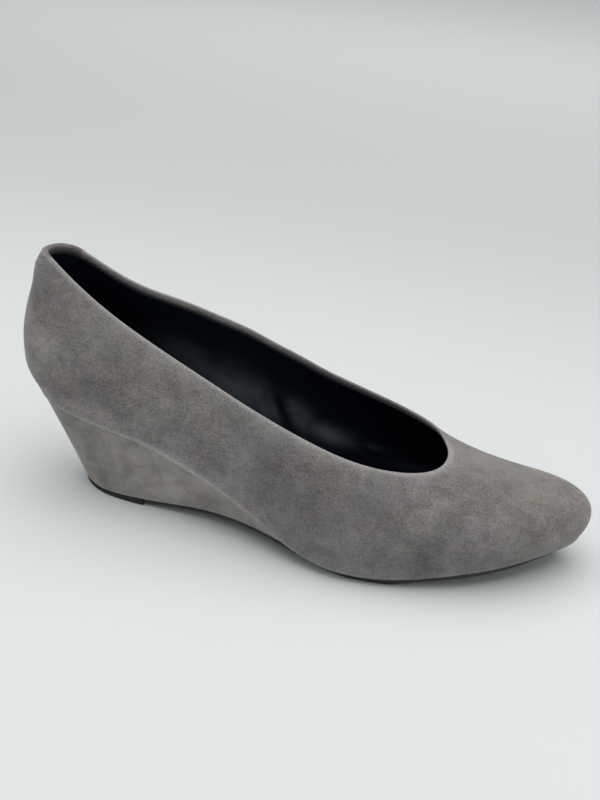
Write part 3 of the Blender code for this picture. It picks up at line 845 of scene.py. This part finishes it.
def stitch_row(name, places, finish):
    """Stitches along a closed row of places, made by a node tree and kept as a plain mesh."""
    path = bpy.data.meshes.new(name + "_row")
    count = len(places)
    path.from_pydata(places.tolist(), [(i, (i + 1) % count) for i in range(count)], [])
    row = placed(name + "_row", path)

    tree = bpy.data.node_groups.new(name, "GeometryNodeTree")
    sockets = {}
    for label, kind in {"Row": "Geometry", "Pitch": "Float", "Long": "Float", "Thread": "Float",
                        "Finish": "Material"}.items():
        socket = tree.interface.new_socket(label, in_out="INPUT", socket_type="NodeSocket" + kind)
        sockets[label] = socket.identifier
    tree.interface.new_socket("Stitches", in_out="OUTPUT", socket_type="NodeSocketGeometry")
    given = tree.nodes.new("NodeGroupInput").outputs
    curve = add(tree, "GeometryNodeMeshToCurve", {"Mesh": given["Row"]}).outputs["Curve"]
    points = add(tree, "GeometryNodeCurveToPoints", {"Curve": curve, "Length": given["Pitch"]}, mode="LENGTH")
    along = add(tree, "FunctionNodeAlignRotationToVector", {"Vector": points.outputs["Tangent"]}, axis="X")
    half_long = sums(tree, "MULTIPLY", given["Long"], 0.5)
    half_thick = sums(tree, "MULTIPLY", given["Thread"], 0.5)
    size = add(tree, "ShaderNodeCombineXYZ", {"X": half_long, "Y": half_thick, "Z": half_thick}).outputs[0]
    ball = add(tree, "GeometryNodeMeshUVSphere", {"Segments": 8, "Rings": 6}).outputs["Mesh"]
    stitch = add(tree, "GeometryNodeTransform", {"Geometry": ball, "Scale": size}).outputs["Geometry"]
    uneven = add(tree, "FunctionNodeRandomValue", {2: 0.88, 3: 1.08, "Seed": 7}, data_type="FLOAT")
    sewn = add(tree, "GeometryNodeInstanceOnPoints", {"Points": points.outputs["Points"], "Instance": stitch,
               "Rotation": along.outputs["Rotation"], "Scale": uneven.outputs[1]}).outputs["Instances"]
    real = add(tree, "GeometryNodeRealizeInstances", {"Geometry": sewn}).outputs["Geometry"]
    smooth = add(tree, "GeometryNodeSetShadeSmooth", {"Geometry": real}).outputs["Geometry"]
    threaded = add(tree, "GeometryNodeSetMaterial", {"Geometry": smooth, "Material": given["Finish"]})
    add(tree, "NodeGroupOutput", {"Stitches": threaded.outputs["Geometry"]})

    sewing = row.modifiers.new("sewing", "NODES")
    sewing.node_group = tree
    for label, value in {"Pitch": STITCH_PITCH, "Long": STITCH_LONG, "Thread": THREAD,
                         "Finish": finish}.items():
        sewing[sockets[label]] = value
    shape = row.evaluated_get(bpy.context.evaluated_depsgraph_get())
    mesh = bpy.data.meshes.new_from_object(shape)
    mesh.name = name
    row.modifiers.remove(sewing)
    bpy.data.objects.remove(row)
    return placed(name, mesh)


def thread_finish():
    finish, tree, shader, where = new_finish("navy_thread")
    fibre = noise(tree, where, 4000.0, detail=2.0)
    plug(tree, shader, {"Base Color": THREAD_NAVY, "Roughness": 0.6,
                        "Normal": raised(tree, fibre, 0.00006, 0.5)})
    return finish


row_at = np.linspace(0, STATIONS, 769)[:-1]
row_places = facing_skin(row_at, np.full(len(row_at), STITCH_DEPTH), 0.00004)
row_places -= np.array([HEEL_CAP_SETBACK, 0.0, 0.0])
stitches = stitch_row("lining_stitches", row_places, thread_finish())
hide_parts("upper")
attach(stitches, "root")


# Heel tab
# The outer quarter's suede runs on over the back of the top edge and ends on the inner side in
# a round lobe, pared thin and glued down. Its edge is turned, so it stands up as a bead, paled by
# wear and a painted highlight, and where it turns inside it is darkened as painted shade.

# round: station, minus on the inner side. depth: how far it hangs below the top edge.
TAB_OUTLINE = np.array([
    # round  depth
    ( 0.36, 0.0050),
    ( 0.20, 0.0080),
    ( 0.00, 0.0105),
    (-0.30, 0.0125),
    (-0.60, 0.0120),
    (-0.82, 0.0090),
    (-0.98, 0.0055),
    (-1.10, 0.0040),
    (-1.16, 0.0022),
])
TAB_THICK = 0.00045
TAB_LINING_THICK = 0.00022  # where it is folded in over the top edge
TAB_BEAD = 0.00026         # how far its turned edge stands up
TAB_EDGE_ROUND = 0.0007
TAB_FADE = 1.05            # station on the outer side by which it has melted into the quarter


def tab_sections():
    """Columns round the heel, each from the lobe's lower edge up over the top edge."""
    kernel = np.hanning(21) / np.hanning(21).sum()
    corners = []
    for values in TAB_OUTLINE.T:
        values = np.interp(np.linspace(0, 1, 161), np.linspace(0, 1, len(values)), values)
        values[10:-10] = np.convolve(values, kernel, "valid")
        corners.append(values)
    fade_round = np.linspace(TAB_FADE, corners[0][0], 60)[:-1]
    fade_depth = 0.0050 - 0.0030 * smooth_step(0.36, TAB_FADE, fade_round)
    at = np.concatenate([fade_round, corners[0]])
    depth = np.concatenate([fade_depth, corners[1]])
    end = (at - at[-1]) * STATION_LENGTH

    over_rim = math.pi * rim_radius(at)
    length = depth + over_rim + FACING_DEPTH - 0.0003
    melt = 1 - smooth_step(-0.05, TAB_FADE, at)
    soften = TAB_EDGE_ROUND + 0.003 * smooth_step(-0.50, 0.20, at) + 0.004 * smooth_step(0.10, 0.60, at)
    top_rows, foot_rows = [], []
    marks = {"rubbed": [], "painted_facing_shade": [], "shade": [], "warmth": []}
    for share in np.concatenate([np.linspace(0, 0.12, 9), np.linspace(0.15, 0.96, 40), [0.98, 1.0]]):
        run = share * length
        below = depth - run
        edge = np.minimum(run, np.minimum(end, length - run + 0.0004))
        inward = np.clip(1 - edge / soften, 0.0, 1.0)
        inside = smooth_step(-0.0020, 0.0012, below)
        thick = (TAB_LINING_THICK + (TAB_THICK - TAB_LINING_THICK) * inside) * melt
        bead = TAB_BEAD * bell(edge - 0.0007, 0.00045) * melt * inside
        lift = (thick + 0.0001) * np.sqrt(1 - inward**2) + bead - 0.0001
        points = skin_point(at, below, lift)
        top_rows.append(points)
        foot_rows.append(skin_point(at, below, np.minimum(lift, 0.0) - 0.00012))
        tab_rim_wear_and_highlight = bell(np.minimum(below, 0.0022), 0.0007) * smooth_step(-0.0026, -0.0004, below)
        bead_wear_and_highlight = bell(edge - 0.0006, 0.0006) * melt
        # The top edge and the bead are paled by wear and a painted highlight; over the top edge and inside,
        # the tab is darkened as painted shade.
        marks["rubbed"].append(np.maximum(0.75 * tab_rim_wear_and_highlight, 0.8 * bead_wear_and_highlight))
        marks["painted_facing_shade"].append(smooth_step(over_rim * 0.6, over_rim + FACING_DEPTH * 0.95, -below))
        marks["shade"].append(nap_tone_and_painted_light(points))
        marks["warmth"].append(nap_warmth(points))
    marks = {mark: np.stack(values + values[::-1], axis=1) for mark, values in marks.items()}
    return np.stack(top_rows + foot_rows[::-1], axis=1), marks


def skin_point(at, below, lift):
    """A place on the suede: below the top edge on the outer face, minus over and inside it."""
    outer = worn_wall(at, 1 - np.maximum(below, 0.0) / wall_height(at), lift)
    over_rim = math.pi * rim_radius(at)
    turn = np.degrees(np.clip(-below / rim_radius(at), 0.0, math.pi))
    rim = rim_skin(at, turn, lift)
    facing = facing_skin(at, np.maximum(-below - over_rim, 0.0), lift)
    place = np.where((below < 0)[:, None], rim, outer)
    return np.where((below < -over_rim)[:, None], facing, place)


tab_rows, tab_marks = tab_sections()
heel_tab = sew("heel_tab_suede", tab_rows, upper_suede, marks=tab_marks)
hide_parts("heel_tab")
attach(heel_tab, "root")


# Wedge
# A light block under heel and shank, covered in the same suede with the nap rubbed smoother.
# The cover is drawn tight over a slightly hollow side, and its seam runs down the back.

WEDGE_TOP_INSET = 0.0005   # from the feather line
WEDGE_HOLLOW = 0.0003      # how far the side draws in at half height
WEDGE_FRONT_OUTER = 4.42   # stations where the wedge runs out
WEDGE_FRONT_INNER = 4.19
COVER_SEAM = 0.00045       # depth of the cover's back seam
COVER_SEAM_WIDE = 0.0005
COVER_TUCK = 0.0003        # how far its edges draw in under lip and sole

# Foot of the wedge, and edge of the outsole and heel cap
TREAD_EDGE = np.array([
    # along across
    (0.089,  0.000),
    (0.124, -0.318),
    (0.207, -0.459),
    (0.372, -0.548),
    (0.523, -0.841),
    (0.657, -0.968),
    (0.822, -0.713),
    (0.931, -0.268),
    (0.988,  0.200),
    (0.958,  0.513),
    (0.857,  0.752),
    (0.709,  0.904),
    (0.541,  0.637),
    (0.380,  0.395),
    (0.207,  0.459),
    (0.122,  0.331),
])

# Small dents in the cover. round: station, minus on the inner side. up: share of its height.
WEDGE_DENTS = [
    # round   up     deep    wide
    ( 1.10, 0.62, 0.00030, 0.0060),
    ( 1.55, 0.30, 0.00022, 0.0070),
    ( 2.15, 0.55, 0.00025, 0.0080),
    ( 2.90, 0.50, 0.00020, 0.0060),
    ( 3.45, 0.45, 0.00018, 0.0035),
    (-1.30, 0.50, 0.00028, 0.0070),
    (-2.30, 0.60, 0.00025, 0.0080),
    (-3.20, 0.45, 0.00020, 0.0060),
]

COVER_DARK = (0.165, 0.154, 0.144, 1.0)
COVER_WARM = (0.418, 0.382, 0.361, 1.0)
COVER_GREEN = (0.354, 0.346, 0.324, 1.0)
COVER_PLUM = (0.390, 0.358, 0.352, 1.0)
COVER_RUBBED = (0.400, 0.375, 0.352, 1.0)


def tread_height(x):
    """The outsole's underside, flat on the floor under the ball."""
    return np.maximum(profile_height(2, x), 0.0)


def sole_top(x):
    """The outsole's upper face, and the cap's."""
    return tread_height(x) + profile_height(3, x)


def wedge_foot(x):
    return sole_top(x) + GAP


def cover_edges(at):
    """The cover's top and foot."""
    return (outline(FEATHER_LINE, at, WEDGE_TOP_INSET, bed_height, -EDGE_DROP - GAP),
            outline(TREAD_EDGE, at, 0.0, wedge_foot, 0.0))


def cover_side(side_at, sign, share):
    """The cover's side: a row of places at share of its height, foot 0 and top 1."""
    top, foot = cover_edges(side_at)
    point = foot * (1 - share) + top * share
    tall = np.clip((top - foot)[:, 2] / HEEL_HEIGHT, 0, 1)
    hollow = WEDGE_HOLLOW * math.sin(math.pi * share) * tall
    for place, up, deep, wide in WEDGE_DENTS:
        if place * sign > 0:
            dent_top, dent_foot = cover_edges(np.array([place]))
            dent = dent_foot * (1 - up) + dent_top * up
            hollow += deep * bell(np.linalg.norm(point - dent, axis=1), wide)
    hollow += COVER_SEAM * bell(side_at * STATION_LENGTH, COVER_SEAM_WIDE)
    tuck = COVER_TUCK * (1 - math.sin(math.pi / 2 * min(share / 0.03, (1 - share) / 0.03, 1.0)))
    point[:, :2] -= plan_curve(FEATHER_LINE, side_at)[1] * (hollow + tuck)[:, None]
    return point


def cover_sections(count):
    """Up the outer side, over the lid, down the inner side and back along the foot. The second
    result says how rubbed each point is."""
    steps = eased(0.0, 1.0, count)
    outer_at, inner_at = steps * WEDGE_FRONT_OUTER, -steps * WEDGE_FRONT_INNER
    shares = np.concatenate([[0, 0.006, 0.013, 0.021, 0.03], np.linspace(0.05, 0.95, 32),
                             [0.97, 0.979, 0.987, 0.994, 1.0]])
    outer = [cover_side(outer_at, 1, share) for share in shares]
    inner = [cover_side(inner_at, -1, share) for share in shares]
    lid = lay_across(outer[-1], inner[-1], (0.25, 0.5, 0.75), lambda x: bed_height(x) - EDGE_DROP - GAP)
    foot = lay_across(outer[0], inner[0], (0.75, 0.5, 0.25), wedge_foot)
    wear = [np.full(count, 0.4 * bell(share - 0.015, 0.02)) for share in shares]
    flat = [np.zeros(count)] * 3
    return (np.stack(outer + lid + inner[::-1] + foot, axis=1),
            np.stack(wear + flat + wear[::-1] + flat, axis=1))


# Darker and paler patches of the cover; the deep darkening towards its front, by the waist, is
# painted shade. round and up as for the dents.
WEDGE_PATCHES_AND_SHADE = [
    # round   up  shade    wide
    ( 0.80, 0.75, -0.20, 0.0090),
    ( 0.95, 0.30, -0.12, 0.0090),
    ( 1.35, 0.85, -0.08, 0.0045),
    ( 1.50, 0.55, -0.09, 0.0040),
    ( 1.75, 0.72,  0.07, 0.0060),
    ( 1.95, 0.25,  0.10, 0.0050),
    ( 2.05, 0.55, -0.08, 0.0035),
    ( 2.40, 0.45,  0.05, 0.0060),
    ( 2.70, 0.72, -0.14, 0.0055),
    ( 2.98, 0.50, -0.24, 0.0070),
    ( 3.35, 0.45, -0.28, 0.0085),
    ( 3.90, 0.50, -0.32, 0.0100),
    (-0.90, 0.55, -0.06, 0.0090),
    (-1.90, 0.40,  0.06, 0.0080),
    (-2.70, 0.55, -0.10, 0.0080),
    (-3.60, 0.50, -0.12, 0.0090),
]


def cover_patches_and_shade(rows):
    """The cover's colour at each point, as a multiple of its own, with painted shade towards its front."""
    shade = np.ones(rows.shape[:2])
    for place, up, depth, wide in WEDGE_PATCHES_AND_SHADE:
        spot = cover_side(np.array([place]), np.sign(place), up)
        shade += depth * bell(np.linalg.norm(rows - spot[None, :, :], axis=2), wide)
    return shade


cover_suede = brushed_suede("smooth_cover_suede", COVER_DARK, COVER_WARM, COVER_GREEN, COVER_PLUM,
                            COVER_RUBBED, 1.1, 0.22)
cover_rows, cover_wear = cover_sections(150)
cover_marks = {"rubbed": cover_wear, "shade": cover_patches_and_shade(cover_rows),
               "warmth": np.full(cover_wear.shape, CAST_BASE)}
wedge = sew("wedge_cover", cover_rows, cover_suede, marks=cover_marks)
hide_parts("wedge")
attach(wedge, "root")


# Outsole
# Thin black resin rubber, cut from sheet and glued on, from the heel cap's front edge to the
# toe. Its edges are buffed round, and it is scuffed and dulled in patches.

OUTSOLE_BACK = 2.165       # station where it meets the heel cap
EDGE_BUFF = 0.0006         # radius of its buffed edges
SOLE_BLACK = (0.016, 0.016, 0.017, 1.0)
SOLE_SCUFFED = (0.085, 0.082, 0.078, 1.0)


def sheet_sections(outer_at, top, bottom, buff, across):
    """Cross-sections of a flat piece cut to the tread's edge, with all its edges buffed round."""
    corner = [(buff * (1 - math.cos(turn)), buff * (1 - math.sin(turn)))
              for turn in np.radians((0, 22, 45, 68, 90))]
    fill = np.linspace(0.0, 1.0, across + 2)[1:-1]

    def buffed(at, height, way):
        """Round one edge, from the rim inwards. way: 1 on the underside, -1 on top."""
        return [outline(TREAD_EDGE, at, inset, height, way * rise) for inset, rise in corner]

    under_out, over_out = buffed(outer_at, bottom, 1), buffed(outer_at, top, -1)
    under_in, over_in = buffed(-outer_at, bottom, 1), buffed(-outer_at, top, -1)
    rows = under_out[::-1] + over_out + lay_across(over_out[-1], over_in[-1], fill, top)
    rows += over_in[::-1] + under_in + lay_across(under_out[-1], under_in[-1], fill[::-1], bottom)
    return np.stack(rows, axis=1)


def sole_rubber(name, black, roughness, amount):
    finish, tree, shader, where = new_finish(name)
    grain = noise(tree, where, 900.0, detail=4.0, roughness=0.65)
    scratch = add(tree, "ShaderNodeMapping", {"Vector": where, "Rotation": (0.0, 0.0, 0.4),
                  "Scale": (60.0, 900.0, 900.0)}).outputs[0]
    scuff = noise(tree, scratch, 1.0, detail=4.0, roughness=0.7)
    patch = noise(tree, where, 70.0, detail=4.0, distortion=0.6)
    wear = sums(tree, "MULTIPLY", spread(tree, scuff, 0.48, 0.72), spread(tree, patch, 0.42, 0.66))
    wear = sums(tree, "MULTIPLY", wear, amount)
    height = sums(tree, "ADD", grain, sums(tree, "MULTIPLY", scuff, 0.8))
    plug(tree, shader, {"Base Color": tint(tree, wear, black, SOLE_SCUFFED),
                        "Roughness": spread(tree, patch, 0.3, 0.7, roughness - 0.10, roughness + 0.12),
                        "Normal": raised(tree, height, 0.00012, 0.35)})
    return finish


outsole_rows = sheet_sections(eased(OUTSOLE_BACK, TOE_STATION, 180), sole_top, tread_height, EDGE_BUFF, 11)
outsole = sew("outsole_sheet", outsole_rows, sole_rubber("black_resin_rubber", SOLE_BLACK, 0.55, 0.7),
              crease_angle=40)
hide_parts("outsole")
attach(outsole, "root")


# Heel cap
# A thicker block of hard black rubber under the back of the wedge. Its front edge is cut square
# and stands a step below the outsole, and its edges have begun to round off on the street.

CAP_FRONT = 2.15           # station of its front edge
CAP_BUFF = 0.0005
CAP_BLACK = (0.006, 0.006, 0.0065, 1.0)

cap_rows = sheet_sections(eased(0.0, CAP_FRONT, 70), sole_top, lambda x: x * 0.0, CAP_BUFF, 9)
heel_cap = sew("heel_cap_rubber", cap_rows, sole_rubber("black_cap_rubber", CAP_BLACK, 0.60, 0.5),
               crease_angle=40)
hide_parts("heel_cap")
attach(heel_cap, "root")


# Floor and light
# A pale, faintly mottled floor under one very broad soft light straight above, with the rest of
# the room giving a low cool fill, so that shadows are weak and have no edge. Behind the shoe a
# darker band is painted on the floor as shadow, and farther back it is painted paler as light.

FLOOR_PALE = (0.80, 0.83, 0.835, 1.0)
FLOOR_WHITE = (0.83, 0.86, 0.87, 1.0)
FLOOR_PAINTED_SHADOW = (0.68, 0.70, 0.70, 1.0)
FLOOR_PAINTED_FAR_LIGHT = (0.90, 0.92, 0.92, 1.0)
ROOM_COLOUR = (0.86, 0.92, 0.94, 1.0)
ROOM_STRENGTH = 0.335


def pale_floor():
    finish, tree, shader, where = new_finish("pale_floor")
    colour = tint(tree, noise(tree, where, 6.0, detail=2.0), FLOOR_PALE, FLOOR_WHITE)
    behind = add(tree, "ShaderNodeSeparateXYZ", {0: where}).outputs["Y"]
    # A darker band painted behind the shoe as shadow, then paler paint farther back as light.
    colour = tint(tree, spread(tree, behind, 0.05, 0.45), colour, FLOOR_PAINTED_SHADOW)
    colour = tint(tree, spread(tree, behind, 0.50, 1.30), colour, FLOOR_PAINTED_FAR_LIGHT)
    plug(tree, shader, {"Base Color": colour, "Roughness": 0.6, "Specular IOR Level": 0.3})
    return finish


bpy.ops.mesh.primitive_plane_add(size=8.0, location=(0.0, 0.0, 0.0))
floor = bpy.context.object
floor.name = "floor"
floor.data.materials.append(pale_floor())

world = bpy.data.worlds.new("room_fill")
bpy.context.scene.world = world
world.use_nodes = True
plug(world.node_tree, world.node_tree.nodes["Background"], {0: ROOM_COLOUR, 1: ROOM_STRENGTH})


def soft_light(name, place, aim, size, watts, colour):
    lamp = bpy.data.lights.new(name, "AREA")
    lamp.shape = "DISK"
    lamp.size = size
    lamp.energy = watts
    lamp.color = colour
    made = placed(name, lamp)
    made.location = place
    made.rotation_euler = (Vector(place) - Vector(aim)).to_track_quat("Z", "Y").to_euler()


soft_light("ceiling", (0.10, 0.12, 1.60), (0.08, 0.0, 0.0), 2.6, 25.5, (1.0, 0.98, 0.95))
soft_light("right_window", (1.15, -0.75, 0.55), (0.12, 0.0, 0.02), 0.9, 1.8, (1.0, 0.99, 0.96))
soft_light("left_window", (-1.10, -0.75, 0.60), (0.0, 0.0, 0.04), 0.9, 1.7, (0.96, 0.98, 1.0))


# Camera
# Above the outer side, looking down at the shoe with the toe to the right, rolled a little.

CAMERA_AT = (0.17567, -0.42886, 0.28403)
CAMERA_YAW = 12.614
CAMERA_PITCH = 27.303
CAMERA_ROLL = 5.138
CAMERA_LENS = 52.596       # millimetres on a 36 millimetre sensor

yaw, pitch, roll = (math.radians(a) for a in (CAMERA_YAW, CAMERA_PITCH, CAMERA_ROLL))
ahead = Vector((-math.sin(yaw) * math.cos(pitch), math.cos(yaw) * math.cos(pitch), -math.sin(pitch)))
level_right = Vector((math.cos(yaw), math.sin(yaw), 0.0))
level_up = level_right.cross(ahead)
right = level_right * math.cos(roll) + level_up * math.sin(roll)
up = level_up * math.cos(roll) - level_right * math.sin(roll)

camera = placed("camera", bpy.data.cameras.new("camera"))
camera.data.sensor_width = 36.0
camera.data.lens = CAMERA_LENS
camera.matrix_world = Matrix([*zip(right, up, -ahead, CAMERA_AT), (0, 0, 0, 1)])
bpy.context.scene.camera = camera
bpy.context.scene.view_settings.view_transform = "Standard"
